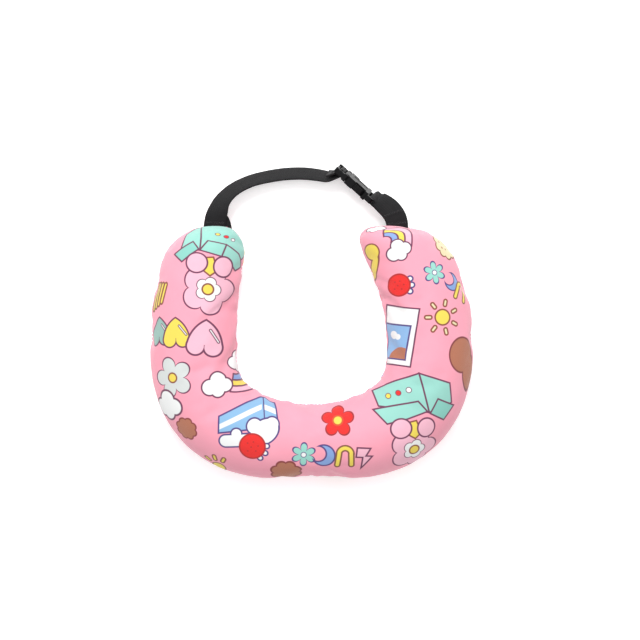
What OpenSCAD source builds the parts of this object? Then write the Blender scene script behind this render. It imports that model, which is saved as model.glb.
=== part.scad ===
// Child's U-shaped neck pillow: two sewn panels round a fibre filling, and a webbing strap
// with a side-release buckle that closes the U in front of the neck.
// Millimetres. The pillow lies flat on z = 0, its U opens toward +Y, +Z is up.

/* [Pillow] */
// Half width of the U's centre line, from the middle to an arm
mid_a = 107; // [100:1:115]
// How far the centre line's bottom lies below the arms' widest line
mid_b = 87.6; // [80:0.1:95]
// Y of the line where the arms are widest
wide_y = -22; // [-30:1:-15]
// Bend radius of the left arm, wide_y upward
left_bend_r = 314; // [250:1:400]
// Bend radius of the right arm, wide_y upward
right_bend_r = 170; // [165:1:240]
// Y where both arms end
tip_y = 85; // [75:1:90]
// Half width of the stuffed tube at the arms
arm_half_w = 39.6; // [36:0.1:42]
// Half width of the stuffed tube at the bottom of the U
base_half_w = 33.6; // [30:0.1:36]
// Extra half width in the two bends beside the bottom
bend_extra_w = 5.5; // [0:0.5:7]
// Half width of the stuffed tube at the left end
left_tip_half_w = 33.5; // [30:0.1:36]
// Half width of the stuffed tube at the right end
right_tip_half_w = 35.5; // [32:0.1:37]
// Length over which the left end rounds off
left_tip_round = 32; // [20:1:40]
// Length over which the right end rounds off
right_tip_round = 18; // [15:1:40]
// Height of the seam over the surface that the pillow lies on
seam_z = 31; // [28:1:34]
// Height of the crown over the seam
crown_h = 37; // [32:1:40]
// How far the filling would sag below the flattened underside
sag = 3; // [1:0.5:4]

/* [Cover] */
// Thickness of a cover panel with its lining
cover_t = 1.5; // [1:0.1:2.5]
// Half of the slot between the two panels, where the seam lies
seam_half = 0.6; // [0.5:0.1:1]
// Air left between pieces that only touch
gap = 0.3; // [0.2:0.05:0.5]

/* [Webbing] */
// Width of the webbing
web_w = 20; // [18:1:21]
// Thickness of the webbing
web_t = 1.4; // [1.2:0.1:1.6]

/* [Buckle] */
// Width across the buckle
buckle_w = 26; // [25:1:30]
// Thickness of the socket
buckle_t = 8; // [7.5:0.5:9]
// Length of the socket's hollow body
socket_len = 24; // [23:0.5:26]
// Length of the loop end behind the hollow body
loop_len = 7; // [6.5:0.5:8]
// Lean of the buckle's width off the ground, in degrees
lean = 77; // [70:1:80]
// Heading of the buckle's long axis, plug to socket, in degrees
heading = -42.7; // [-45:0.1:-40]

/* [Hidden] */

PINK = [0.96, 0.6, 0.7];
BLACK = [0.09, 0.09, 0.1];

// ---- The tube's centre line: two arm arcs joined by a half superellipse ----

SQUARE = 2.65;         // exponent of the superellipse: 2 is round, more is squarer
ARM_STEPS = 15;        // rings on each arm
TURN_STEPS = 30;       // rings round the bottom
RINGS = 2 * ARM_STEPS + TURN_STEPS;
ARC_STEPS = 14;        // points over half the tube's girth
TIP_POWER = 2.4;       // above 2 makes the tip's corners squarer
END_SCALE = 0.08;      // the last ring is this part of the full girth
SKEW_LEN = 60;         // the tube's ends turn square to Y over this length

function sgn(x) = x < 0 ? -1 : 1;
function mix(a, b, t) = a + (b - a) * t;
function ease(t) = let (c = min(1, max(0, t))) c * c * (3 - 2 * c);
function unit(v) = v / norm(v);

// Half superellipse, t from 0 at the left arm to 1 at the right arm
function turn_point(t) =
    let (a = 180 + 180 * t,
         r = pow(pow(abs(cos(a)) / mid_a, SQUARE) + pow(abs(sin(a)) / mid_b, SQUARE), -1 / SQUARE))
    [r * cos(a), wide_y + r * sin(a)];

// Arm arc, h is the height over wide_y, side is -1 for the left arm and 1 for the right one
function arm_point(h, side) =
    let (r = side < 0 ? left_bend_r : right_bend_r)
    [side * (mid_a - r + sqrt(r * r - h * h)), wide_y + h];

// Heights of the arm rings crowd toward the tip, where the tube rounds off
function arm_height(t) = (tip_y - wide_y) * (1 - pow(1 - t, 1.7));

function mid_point(i) =
    i < ARM_STEPS ? arm_point(arm_height(1 - i / ARM_STEPS), -1)
    : i <= ARM_STEPS + TURN_STEPS ? turn_point((i - ARM_STEPS) / TURN_STEPS)
    : arm_point(arm_height((i - ARM_STEPS - TURN_STEPS) / ARM_STEPS), 1);

// Unit vector across the tube, toward the outside of the U, turned square to Y near the tips
function across(i) =
    let (back = mid_point(max(0, i - 1)),
         ahead = mid_point(min(RINGS, i + 1)),
         along = unit(ahead - back),
         side = [along[1], -along[0]],
         p = mid_point(i),
         level = [sgn(p[0]), 0],
         skew = ease((p[1] - (tip_y - SKEW_LEN)) / SKEW_LEN))
    unit(mix(side, level, skew));

// How far a ring lies into the rounding of its tip: 0 where it starts, 1 at the end
function into_tip(i) =
    let (p = mid_point(i), length = p[0] < 0 ? left_tip_round : right_tip_round)
    min(1, max(0, (p[1] - (tip_y - length)) / length));

// Share of the full girth at a ring
function tip_share(i) =
    max(END_SCALE, pow(1 - pow(into_tip(i), TIP_POWER), 1 / TIP_POWER));

function half_width(i) =
    let (p = mid_point(i),
         up = pow(max(0, p[1] - wide_y) / (tip_y - wide_y), 2),
         down = ease((wide_y - p[1]) / mid_b),
         bend = i <= ARM_STEPS || i >= RINGS - ARM_STEPS ? 0
                : pow(sin(360 * (i - ARM_STEPS) / TURN_STEPS), 2),
         tip = p[0] < 0 ? left_tip_half_w : right_tip_half_w)
    arm_half_w + (tip - arm_half_w) * up + (base_half_w - arm_half_w) * down + bend_extra_w * bend;

// Point of the surface t inside the cover, at ring i and angle a from the outer seam over the crown.
// slot is how far the surface starts above and below the seam.
function skin(i, a, t, slot = 0) =
    let (share = tip_share(i),
         w = (half_width(i) - t) * share,
         slim = 0.45 + 0.55 * half_width(i) / arm_half_w,
         up = sin(a) >= 0,
         h = ((up ? crown_h * slim : (seam_z + sag) * slim) - t - slot) * share,
         c = mid_point(i) - [0, t * ease(into_tip(i))],
         out = across(i) * w * cos(a))
    [c[0] + out[0], c[1] + out[1], max(t, seam_z + (up ? slot : -slot) + h * sin(a))];

// ---- Closed bodies from rings of points ----

// Side faces between rings of n points; rings run along the body
function tube_faces(rings, n) =
    [for (i = [0 : rings - 2], k = [0 : n - 1])
        let (m = (k + 1) % n)
        each [[i * n + k, i * n + m, (i + 1) * n + m], [i * n + k, (i + 1) * n + m, (i + 1) * n + k]]];

module tube(rings) {
    n = len(rings[0]);
    last = (len(rings) - 1) * n;
    polyhedron(points = [for (r = rings) each r],
               faces = concat(tube_faces(len(rings), n),
                              [[for (k = [n - 1 : -1 : 0]) k]],
                              [[for (k = [0 : n - 1]) last + k]]),
               convexity = 10);
}

// Half cover: an outer arc and an inner arc, joined by a rim along both seams
module panel(side) {
    n = 2 * (ARC_STEPS + 1);
    rings = [for (i = [0 : RINGS])
        [each [for (k = [0 : ARC_STEPS]) panel_point(i, k, side, 0)],
         each [for (k = [ARC_STEPS : -1 : 0]) panel_point(i, k, side, cover_t)]]];
    last = RINGS * n;
    half = ARC_STEPS + 1;
    faces = concat(tube_faces(RINGS + 1, n),
                   end_faces(0, n, half, false),
                   end_faces(last, n, half, true));
    polyhedron(points = [for (r = rings) each r],
               faces = side > 0 ? faces : [for (f = faces) [for (k = [len(f) - 1 : -1 : 0]) f[k]]],
               convexity = 10);
}

// Point k of a panel's arc, side 1 over the seam and -1 under it
function panel_point(i, k, side, t) =
    let (p = skin(i, side * 180 * k / ARC_STEPS, t, seam_half))
    k == 0 || k == ARC_STEPS ? [p[0], p[1], seam_z + side * seam_half] : p;

// An end is closed by the outer cap, the inner cap and the strip of rim between them
function end_faces(first, n, half, ahead) =
    let (outer = [for (k = [0 : half - 1]) first + k],
         inner = [for (k = [half : n - 1]) first + k],
         rim = [first, first + half - 1, first + half, first + n - 1],
         caps = [outer, inner, rim])
    ahead ? caps : [for (f = caps) [for (k = [len(f) - 1 : -1 : 0]) f[k]]];

module fibre_fill() {
    n = 2 * ARC_STEPS;
    t = cover_t + gap;
    color("white")
        tube([for (i = [0 : RINGS]) [for (k = [0 : n - 1]) skin(i, 360 * k / n, t)]]);
}

module cover_top() {
    color(PINK) panel(1);
}

module cover_bottom() {
    color(PINK) panel(-1);
}

// ---- Seam between the two panels, a closed line round the whole pillow ----

CLOSE_FROM = ARM_STEPS + 9;     // rings between which the filling hole is closed by hand
CLOSE_TO = ARM_STEPS + 21;
SEAM_AIR = 0.1;                 // air between the seam and each panel's rim

// The seam's stations as [ring, angle]: 0 is the outer side of the tube, 180 the inner side
SEAM_ROUTE = concat([for (i = [CLOSE_FROM : -1 : 0]) [i, 180]],
                    [for (i = [0 : RINGS]) [i, 0]],
                    [for (i = [RINGS : -1 : CLOSE_TO]) [i, 180]]);
CLOSING_ROUTE = [for (i = [CLOSE_TO : -1 : CLOSE_FROM]) [i, 180]];

module seam_line(route) {
    h = seam_half - SEAM_AIR;
    tube([for (s = route)
        let (out = skin(s[0], s[1], 0), in = skin(s[0], s[1], cover_t))
        [[out[0], out[1], seam_z + h], [in[0], in[1], seam_z + h],
         [in[0], in[1], seam_z - h], [out[0], out[1], seam_z - h]]]);
}

module seam_thread() {
    color(PINK) seam_line(SEAM_ROUTE);
}

module closing_stitch() {
    color("hotpink") seam_line(CLOSING_ROUTE);
}

// ---- Buckle's own frame: x runs from the plug to the socket, z is the plate's outer face ----

MOUTH = [33.7, 130.1];                  // middle of the socket's mouth, seen from above
EDGE_AIR = 0.5;                         // the buckle's lower edge stays this far over the ground
MOUTH_Z = buckle_w / 2 * sin(lean) + buckle_t / 2 * cos(lean) + EDGE_AIR;
LONG = [cos(heading), sin(heading), 0];
PLATE = [-sin(heading) * sin(lean), cos(heading) * sin(lean), cos(lean)];

// Point of the buckle's middle plane, x along it and z off its plate
function on_plane(x, z) = [MOUTH[0], MOUTH[1], MOUTH_Z] + x * LONG + z * PLATE;

module at_buckle() {
    translate([MOUTH[0], MOUTH[1], MOUTH_Z]) rotate([0, 0, heading]) rotate([-lean, 0, 0]) children();
}

// ---- Webbing: rows of [x, y, z, azimuth, rise], the last two aim the webbing's width ----

BUCKLE_AZ = heading - 90;
LONG_STEPS = 3;         // rings of the long strap from row to row
SHORT_STEPS = 6;        // the short strap twists harder

function row(p, az, rise) = [p[0], p[1], p[2], az, rise];

// Smooth curve through the rows, u counts rows
function row_at(rows, u) =
    let (last = len(rows) - 1,
         i = min(last - 1, max(0, floor(u))),
         t = u - i,
         a = rows[max(0, i - 1)],
         b = rows[i],
         c = rows[i + 1],
         d = rows[min(last, i + 2)])
    0.5 * (2 * b + (c - a) * t + (2 * a - 5 * b + 4 * c - d) * t * t
           + (3 * b - a - 3 * c + d) * t * t * t);

function place(r) = [r[0], r[1], r[2]];
function width_dir(r) = [cos(r[4]) * cos(r[3]), cos(r[4]) * sin(r[3]), sin(r[4])];

// Direction off the webbing's face at u
function face_dir(rows, u) =
    let (last = len(rows) - 1,
         along = place(row_at(rows, min(last, u + 0.05))) - place(row_at(rows, max(0, u - 0.05))))
    unit(cross(width_dir(row_at(rows, u)), unit(along)));

// Strip that follows the rows from u0 to u1, lifted off their face by lift
module ribbon(rows, u0, u1, steps, width, thick, lift) {
    tube([for (k = [0 : steps])
        let (u = u0 + (u1 - u0) * k / steps,
             r = row_at(rows, u),
             w = width_dir(r) * width / 2,
             f = face_dir(rows, u),
             low = f * (lift - thick / 2),
             high = f * (lift + thick / 2),
             p = place(r))
        [p - w + low, p + w + low, p + w + high, p - w + high]]);
}

module whole_ribbon(rows, steps) {
    last = len(rows) - 1;
    ribbon(rows, 0, last, last * steps, web_w, web_t, 0);
}

// Plug's ladder: the webbing comes up through the inner slot, over the bar and down the outer slot
INNER_SLOT = -5.6;
LADDER_BAR = -8;
OUTER_SLOT = -10.4;

LONG_ROWS = [
    [-88.5, 78, 31, 0, 0],
    [-88.5, 84, 31, 0, 0],
    [-87.2, 92, 30.5, -8, 4],
    [-85, 100, 28, -17, 24],
    [-80.3, 110, 22, -38, 42],
    [-70.5, 119.6, 16, -57, 50],
    [-56, 127, 12, -67, 53],
    [-40, 131.2, 9.6, -77, 53],
    [-24, 133.6, 9.2, -84, 53],
    [-8, 134.1, 9, -91, 53],
    [5, 132.8, 9.4, -98, 54],
    [15.5, 131, 10.8, -106, 57],
    row(on_plane(-8.4, -5.8), -121, 68),
    row(on_plane(INNER_SLOT, -1.8), BUCKLE_AZ, lean),
    row(on_plane(INNER_SLOT, 0.6), BUCKLE_AZ, lean),
    row(on_plane(INNER_SLOT - 0.8, 2.2), BUCKLE_AZ, lean),
    row(on_plane(LADDER_BAR, 2.8), BUCKLE_AZ, lean),
    row(on_plane(OUTER_SLOT + 0.8, 2.2), BUCKLE_AZ, lean),
    row(on_plane(OUTER_SLOT, 0.6), BUCKLE_AZ, lean),
    row(on_plane(OUTER_SLOT, -1.4), BUCKLE_AZ, lean),
    row(on_plane(-11.6, -3.8), -130, 76),
    row(on_plane(-14, -7.2), -122, 72),
    row(on_plane(-16.6, -10.2), -116, 68)];
LONG_LAST = len(LONG_ROWS) - 1;

// Short strap: folded over the socket's bar, both ends sewn into the right tip
BAR_X = socket_len + loop_len - 1.5;
BAR_R = 1.4;
TURN_R = BAR_R + gap + web_t / 2;
LAYER = web_t / 2 + 0.15;
LOOP_OUT = 3.9;         // the layers close up this far beyond the bar
SHORT_MID = [
    [78, 77, 31, 180, 0],
    [78, 82, 31, 182, 0],
    [77.8, 88, 29.8, 188, 2],
    [75.5, 95, 27.5, 199, 5],
    [70, 102.4, 22.5, 211, 14],
    [62.2, 109, 17.3, 223, 36]];
SHORT_LAST = len(SHORT_MID) - 1;

function layer_row(i, lift) =
    let (r = SHORT_MID[i], p = place(r) + lift * face_dir(SHORT_MID, i))
    row(p, r[3], r[4]);

function bar_row(angle) =
    row(on_plane(BAR_X + TURN_R * cos(angle), TURN_R * sin(angle)), BUCKLE_AZ + 360, lean);

SHORT_ROWS = concat(
    [for (i = [0 : SHORT_LAST]) layer_row(i, -LAYER)],
    [row(on_plane(BAR_X + LOOP_OUT, 1.9), BUCKLE_AZ + 357, lean - 15)],
    [for (a = [60 : 40 : 300]) bar_row(a)],
    [row(on_plane(BAR_X + LOOP_OUT, -0.3), BUCKLE_AZ + 357, lean - 15)],
    [for (i = [SHORT_LAST : -1 : 0]) layer_row(i, LAYER)]);

module strap_long() {
    color(BLACK) whole_ribbon(LONG_ROWS, LONG_STEPS);
}

module strap_short() {
    color(BLACK) whole_ribbon(SHORT_ROWS, SHORT_STEPS);
}

// Threads sewn across the webbing on its outer face, a third of a row long
TACK_T = 0.4;
TACK_W = web_w - 4;
TACK_LIFT = web_t / 2 + TACK_T / 2 + 0.05;

module tack(rows, u, steps, lift) {
    color("dimgray") ribbon(rows, u, u + 1 / 3, steps / 3, TACK_W, TACK_T, lift);
}

module tack_left() {
    tack(LONG_ROWS, 4 / 3, LONG_STEPS, TACK_LIFT);
}

module tack_right() {
    tack(SHORT_ROWS, 5 / 3, SHORT_STEPS, -TACK_LIFT);
}

module tack_loop() {
    tack(SHORT_ROWS, 3, SHORT_STEPS, -TACK_LIFT);
}

module tack_tail() {
    tack(LONG_ROWS, LONG_LAST - 1, LONG_STEPS, -TACK_LIFT);
}

// ---- Side-release buckle ----

WALL = 1.3;                            // socket's plates
SIDE_WALL = 1.6;                       // socket's side walls
CAVITY_H = buckle_t - 2 * WALL;
CAVITY_W = buckle_w - 2 * SIDE_WALL;
MOUTH_LEN = 8.5;                       // depth of the mouth in front of the side windows
WINDOW_LEN = 12;                       // side window that a latch snaps into
WINDOW_DEPTH = 4;
CORNER_R = 2.5;
PIN_HALF = 1.7;                        // half width and half height of the guide pin
PIN_LEN = 17;
RIB_T = 0.9;                           // guide ribs beside the pin
RAIL_W = 2.5;                          // side rails of the loop and of the ladder
SLOT_LEN = 3.2;
BLOCK_FROM = -4.2;                     // solid block in front of the ladder
BLOCK_TO = -0.3;
LADDER_END = -14;
FRAME_T = 5.2;
BAR_HALF_T = 1.4;
KNUCKLE = [-2.2, 9.6];                 // pivot that stands for the latch's flexing root
KNUCKLE_R = 1.2;
LATCH_T = 4.8;
GRIP_GROOVES = [10.8, 12.1, 13.4, 14.7];   // x of the grooves across a thumb pad
GROOVE_W = 0.6;
GROOVE_FLOOR = 12.7;                   // y of the grooves' floor
PANEL_X = [3.5, 20];                   // shallow panel sunk into both of the socket's plates
PANEL_W = 14;
PANEL_DEPTH = 0.4;

// Plate with rounded corners in the buckle's x and y, from x0 to x1
module rounded(x0, x1, w, r) {
    union() {
        translate([x0, -w / 2 + r]) square([x1 - x0, w - 2 * r]);
        translate([x0 + r, -w / 2]) square([x1 - x0 - 2 * r, w]);
        for (x = [x0 + r, x1 - r], y = [-w / 2 + r, w / 2 - r]) translate([x, y]) circle(r, $fn = 32);
    }
}

module slab(x0, x1, w, t, r) {
    translate([0, 0, -t / 2]) linear_extrude(t) rounded(x0, x1, w, r);
}

module block(x0, x1, w, t) {
    translate([x0, -w / 2, -t / 2]) cube([x1 - x0, w, t]);
}

module socket() {
    inner_w = buckle_w - 2 * RAIL_W;
    color(BLACK) at_buckle() {
        difference() {
            union() {
                slab(0, socket_len, buckle_w, buckle_t, 1.2);
                slab(socket_len - CORNER_R, socket_len + loop_len, buckle_w, FRAME_T, CORNER_R);
            }
            block(-1, socket_len - 1.5, CAVITY_W, CAVITY_H);
            for (side = [-1, 1])
                translate([MOUTH_LEN + WINDOW_LEN / 2, side * buckle_w / 2, 0])
                    block(-WINDOW_LEN / 2, WINDOW_LEN / 2, 2 * WINDOW_DEPTH, buckle_t + 2);
            block(socket_len + 0.5, BAR_X, inner_w, FRAME_T + 2);
            block(BAR_X - 0.1, socket_len + loop_len + 1, inner_w, FRAME_T + 2);
            for (face = [-1, 1])
                translate([0, 0, face * buckle_t / 2])
                    slab(PANEL_X[0], PANEL_X[1], PANEL_W, 2 * PANEL_DEPTH, 1.5);
        }
        translate([BAR_X, 0, 0]) rotate([90, 0, 0])
            cylinder(r = BAR_R, h = inner_w + 1, center = true, $fn = 32);
        for (side = [-1, 1])
            translate([0, side * (PIN_HALF + 0.4 + RIB_T / 2), 0])
                block(MOUTH_LEN + 1, socket_len - 1.4, RIB_T, CAVITY_H + 0.2);
    }
}

module plug() {
    inner_w = buckle_w - 2 * RAIL_W;
    color(BLACK) at_buckle() {
        difference() {
            union() {
                slab(LADDER_END, BLOCK_TO, buckle_w, FRAME_T, CORNER_R);
                slab(BLOCK_FROM, BLOCK_TO, buckle_w, buckle_t - 1, 1);
            }
            block(LADDER_END - 1, BLOCK_FROM, inner_w, FRAME_T + 2);
            for (side = [-1, 1]) {
                translate([KNUCKLE[0], side * KNUCKLE[1], -buckle_t])
                    cylinder(r = KNUCKLE_R + gap, h = 2 * buckle_t, $fn = 32);
                translate([0, side * (KNUCKLE[1] - 0.2), 0])
                    block(KNUCKLE[0], 1, 2 * KNUCKLE_R + 1, 2 * buckle_t);
            }
        }
        block(LADDER_END + 0.2, LADDER_END + 2.2, inner_w + 1, 2 * BAR_HALF_T);
        block(LADDER_BAR - 1, LADDER_BAR + 1, inner_w + 1, 2 * BAR_HALF_T);
        translate([0, 0, -PIN_HALF]) linear_extrude(2 * PIN_HALF)
            polygon([[BLOCK_TO - 0.5, -PIN_HALF], [PIN_LEN - 3, -PIN_HALF], [PIN_LEN, -0.8],
                     [PIN_LEN, 0.8], [PIN_LEN - 3, PIN_HALF], [BLOCK_TO - 0.5, PIN_HALF]]);
    }
}

// Latch arm with its catch and grooved thumb pad, side 1 or -1 across the buckle
module latch(side) {
    pad_end = MOUTH_LEN + WINDOW_LEN - 0.6;
    catch_x = MOUTH_LEN + 0.4;
    color(BLACK) at_buckle() mirror([0, side < 0 ? 1 : 0, 0])
        translate([0, 0, -LATCH_T / 2]) linear_extrude(LATCH_T) difference() {
            union() {
                translate(KNUCKLE) circle(KNUCKLE_R, $fn = 32);
                polygon([[KNUCKLE[0], 8.6], [21.4, 7.9], [22, 9], [pad_end, 10.7], [17.6, 12.5],
                         [14, 13.2], [catch_x + 1, 13.2], [catch_x, 12.8], [catch_x, 10.7],
                         [KNUCKLE[0], 10.6]]);
            }
            for (x = GRIP_GROOVES) translate([x, GROOVE_FLOOR]) square([GROOVE_W, 2]);
        }
}

module latch_upper() {
    latch(-1);
}

module latch_lower() {
    latch(1);
}

fibre_fill();
cover_bottom();
cover_top();
seam_thread();
closing_stitch();
strap_long();
strap_short();
tack_left();
tack_right();
tack_loop();
tack_tail();
socket();
plug();
latch_upper();
latch_lower();
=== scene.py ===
"""Looks of the child's U-shaped neck pillow: a printed cover sewn from two panels, webbing and a buckle.

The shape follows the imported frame. Lengths named in millimetres carry no suffix, and MM turns them
into Blender's metres. The pillow lies flat, its U opens toward +Y.
"""
import math
import random

import bmesh
import bpy
import numpy as np
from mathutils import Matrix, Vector


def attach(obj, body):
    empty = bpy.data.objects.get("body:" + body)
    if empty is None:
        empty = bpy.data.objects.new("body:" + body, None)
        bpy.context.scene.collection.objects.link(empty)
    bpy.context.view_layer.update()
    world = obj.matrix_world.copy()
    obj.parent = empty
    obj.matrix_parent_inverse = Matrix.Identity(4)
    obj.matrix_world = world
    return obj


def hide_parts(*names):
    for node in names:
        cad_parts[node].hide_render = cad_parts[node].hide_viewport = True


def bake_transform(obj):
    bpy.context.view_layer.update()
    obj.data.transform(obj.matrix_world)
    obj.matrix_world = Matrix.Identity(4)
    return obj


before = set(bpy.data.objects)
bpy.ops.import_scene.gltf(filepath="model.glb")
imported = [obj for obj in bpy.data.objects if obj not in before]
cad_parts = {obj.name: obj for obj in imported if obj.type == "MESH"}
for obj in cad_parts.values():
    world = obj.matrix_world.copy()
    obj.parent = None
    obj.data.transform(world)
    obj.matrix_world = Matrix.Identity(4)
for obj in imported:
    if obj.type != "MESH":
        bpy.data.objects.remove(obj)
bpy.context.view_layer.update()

MM = 0.001
RNG = random.Random(11)


# ---- Camera, light and floor ----

VIEW_CENTRE = Vector((0.0077, -0.0005, 0.033))
VIEW_SPAN = 0.5824
VIEW_DISTANCE = 2.4
SENSOR = 36.0


def link(thing):
    bpy.context.scene.collection.objects.link(thing)


def make_camera():
    """A camera straight above the pillow, with the picture's top toward +Y."""
    data = bpy.data.cameras.new("camera")
    data.sensor_width = SENSOR
    data.lens = SENSOR * VIEW_DISTANCE / VIEW_SPAN
    camera = bpy.data.objects.new("camera", data)
    camera.location = VIEW_CENTRE + Vector((0, 0, VIEW_DISTANCE))
    link(camera)
    bpy.context.scene.camera = camera


def make_area_light(name, place, size, power):
    """Round lamp that points at the origin."""
    data = bpy.data.lights.new(name, "AREA")
    data.shape = "DISK"
    data.size = size
    data.energy = power
    light = bpy.data.objects.new(name, data)
    light.location = place
    light.rotation_euler = (-Vector(place)).to_track_quat("-Z", "Y").to_euler()
    link(light)


def make_lights():
    make_area_light("key_light", (-0.2, 1.1, 1.5), 0.8, 33)
    make_area_light("top_light", (0.1, 0.1, 1.9), 1.6, 14)
    world = bpy.data.worlds.new("studio")
    world.use_nodes = True
    sky = world.node_tree.nodes["Background"]
    sky.inputs["Color"].default_value = (1, 1, 1, 1)
    sky.inputs["Strength"].default_value = 0.64
    bpy.context.scene.world = world
    bpy.context.scene.view_settings.view_transform = "Standard"


def make_floor():
    mesh = bpy.data.meshes.new("floor")
    half = 3.0
    corners = [(-half, -half, 0), (half, -half, 0), (half, half, 0), (-half, half, 0)]
    mesh.from_pydata(corners, [], [(0, 1, 2, 3)])
    floor = bpy.data.objects.new("floor", mesh)
    floor.location.z = -0.0004
    link(floor)
    paint = Paint("floor_paper")
    paint.shade((0.9, 0.9, 0.9, 1), 0.9, Emission_Color=(1, 1, 1, 1), Emission_Strength=0.3)
    mesh.materials.append(paint.material)


# ---- Node helpers ----

def linear(colour):
    """Linear colour, with alpha 1, of an sRGB colour given from 0 to 255."""
    shares = [c / 255 for c in colour]
    return (*(c / 12.92 if c <= 0.04045 else ((c + 0.055) / 1.055) ** 2.4 for c in shares), 1)


class Paint:
    """One node material, built by small calls that return sockets."""

    def __init__(self, name):
        self.material = bpy.data.materials.new(name)
        self.material.use_nodes = True
        self.tree = self.material.node_tree
        self.shader = self.tree.nodes["Principled BSDF"]

    def feed(self, socket, value):
        if isinstance(value, bpy.types.NodeSocket):
            self.tree.links.new(value, socket)
        else:
            socket.default_value = value

    def node(self, kind, **inputs):
        """New node with these inputs fed."""
        node = self.tree.nodes.new("ShaderNode" + kind)
        for name, value in inputs.items():
            self.feed(node.inputs[name], value)
        return node

    def operate(self, kind, operation, values):
        node = self.node(kind)
        node.operation = operation
        for socket, value in zip(node.inputs, values):
            self.feed(socket, value)
        return node

    def math(self, operation, *values, clamp=False):
        node = self.operate("Math", operation, values)
        node.use_clamp = clamp
        return node.outputs[0]

    def scaled(self, x, factor, plus=0.0):
        return self.math("MULTIPLY_ADD", x, factor, plus)

    def vector(self, operation, *values):
        node = self.operate("VectorMath", operation, values)
        scalar = operation in ("DISTANCE", "LENGTH", "DOT_PRODUCT")
        return node.outputs["Value" if scalar else "Vector"]

    def split(self, vector):
        return tuple(self.node("SeparateXYZ", Vector=vector).outputs)

    def joined(self, x, y):
        return self.node("CombineXYZ", X=x, Y=y).outputs[0]

    def turned(self, vector, angle):
        node = self.node("VectorRotate", Vector=vector, Angle=angle)
        node.rotation_type = "Z_AXIS"
        return node.outputs[0]

    def mix(self, factor, first, second):
        node = self.node("Mix")
        node.data_type = "RGBA"
        for index, value in ((0, factor), (6, first), (7, second)):
            self.feed(node.inputs[index], value)
        return node.outputs[2]

    def coordinates(self, which):
        return self.node("TexCoord").outputs[which]

    def uv(self, name):
        node = self.node("UVMap")
        node.uv_map = name
        return node.outputs[0]

    def noise(self, vector, scale, detail=2.0, roughness=0.5):
        return self.node("TexNoise", Vector=vector, Scale=scale, Detail=detail,
                         Roughness=roughness).outputs[0]

    def wave(self, x, length):
        return self.math("SINE", self.scaled(x, 2 * math.pi / length))

    def bump(self, height, distance, strength=1.0, below=None):
        node = self.node("Bump", Height=height, Distance=distance, Strength=strength)
        if below is not None:
            self.feed(node.inputs["Normal"], below)
        return node.outputs[0]

    def shade(self, colour, roughness=0.7, normal=None, **sockets):
        """Feeds the shader. sockets are its own constant inputs, such as Sheen_Weight=0.3."""
        self.feed(self.shader.inputs["Base Color"], colour)
        self.feed(self.shader.inputs["Roughness"], roughness)
        if normal is not None:
            self.feed(self.shader.inputs["Normal"], normal)
        for name, value in sockets.items():
            self.shader.inputs[name.replace("_", " ")].default_value = value


# ---- The stuffed tube, by the same rules as its CAD solids, in millimetres ----

MID_A, MID_B, WIDE_Y = 107, 87.6, -22
LEFT_BEND_R, RIGHT_BEND_R = 314, 170
TIP_Y = 85
ARM_HALF_W, BASE_HALF_W, BEND_EXTRA_W = 39.6, 33.6, 5.5
LEFT_TIP_HALF_W, RIGHT_TIP_HALF_W = 33.5, 35.5
SEAM_Z, CROWN_H, SAG = 31, 37, 3
SQUARE = 2.65
ARM, TURN = 15, 30            # stations along each arm, and round the bottom
LAST = 2 * ARM + TURN
LEFT_TIP_ROUND, RIGHT_TIP_ROUND = 32, 18
TIP_POWER, END_SCALE, SKEW_LEN = 2.4, 0.08, 60
CLOSE_FROM, CLOSE_TO = ARM + 9, ARM + 21


def ease(x):
    x = np.clip(x, 0, 1)
    return x * x * (3 - 2 * x)


def unit(v):
    return v / np.maximum(np.linalg.norm(v, axis=-1, keepdims=True), 1e-9)


def mid_point(s):
    """Tube's centre line in plan, s from 0 at the left tip to LAST at the right tip."""
    s = np.asarray(s, float)
    angle = np.radians(180 + 180 * np.clip((s - ARM) / TURN, 0, 1))
    cos, sin = np.cos(angle), np.sin(angle)
    reach = (np.abs(cos / MID_A) ** SQUARE + np.abs(sin / MID_B) ** SQUARE) ** (-1 / SQUARE)
    x, y = reach * cos, WIDE_Y + reach * sin
    left = (-1, s < ARM, 1 - s / ARM, LEFT_BEND_R)
    right = (1, s > ARM + TURN, (s - ARM - TURN) / ARM, RIGHT_BEND_R)
    for side, here, t, bend_r in (left, right):
        h = (TIP_Y - WIDE_Y) * (1 - (1 - np.clip(t, 0, 1)) ** 1.7)
        x = np.where(here, side * (MID_A - bend_r + np.sqrt(bend_r ** 2 - h ** 2)), x)
        y = np.where(here, WIDE_Y + h, y)
    return np.stack([x, y], -1)


def along(s):
    return unit(mid_point(np.minimum(LAST, s + 0.5)) - mid_point(np.maximum(0, s - 0.5)))


def across(s):
    """Unit vector across the tube toward the outside of the U."""
    path, place = along(s), mid_point(s)
    side = np.stack([path[..., 1], -path[..., 0]], -1)
    level = np.stack([np.sign(place[..., 0]), np.zeros_like(place[..., 0])], -1)
    skew = ease((place[..., 1] - (TIP_Y - SKEW_LEN)) / SKEW_LEN)[..., None]
    return unit(side + (level - side) * skew)


def into_tip(s):
    """How far a station lies into the rounding of its tip: 0 where it starts, 1 at the end."""
    place = mid_point(s)
    length = np.where(place[..., 0] < 0, LEFT_TIP_ROUND, RIGHT_TIP_ROUND)
    return np.clip((place[..., 1] - (TIP_Y - length)) / length, 0, 1)


def tip_share(s):
    return np.maximum(END_SCALE, (1 - into_tip(s) ** TIP_POWER) ** (1 / TIP_POWER))


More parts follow.
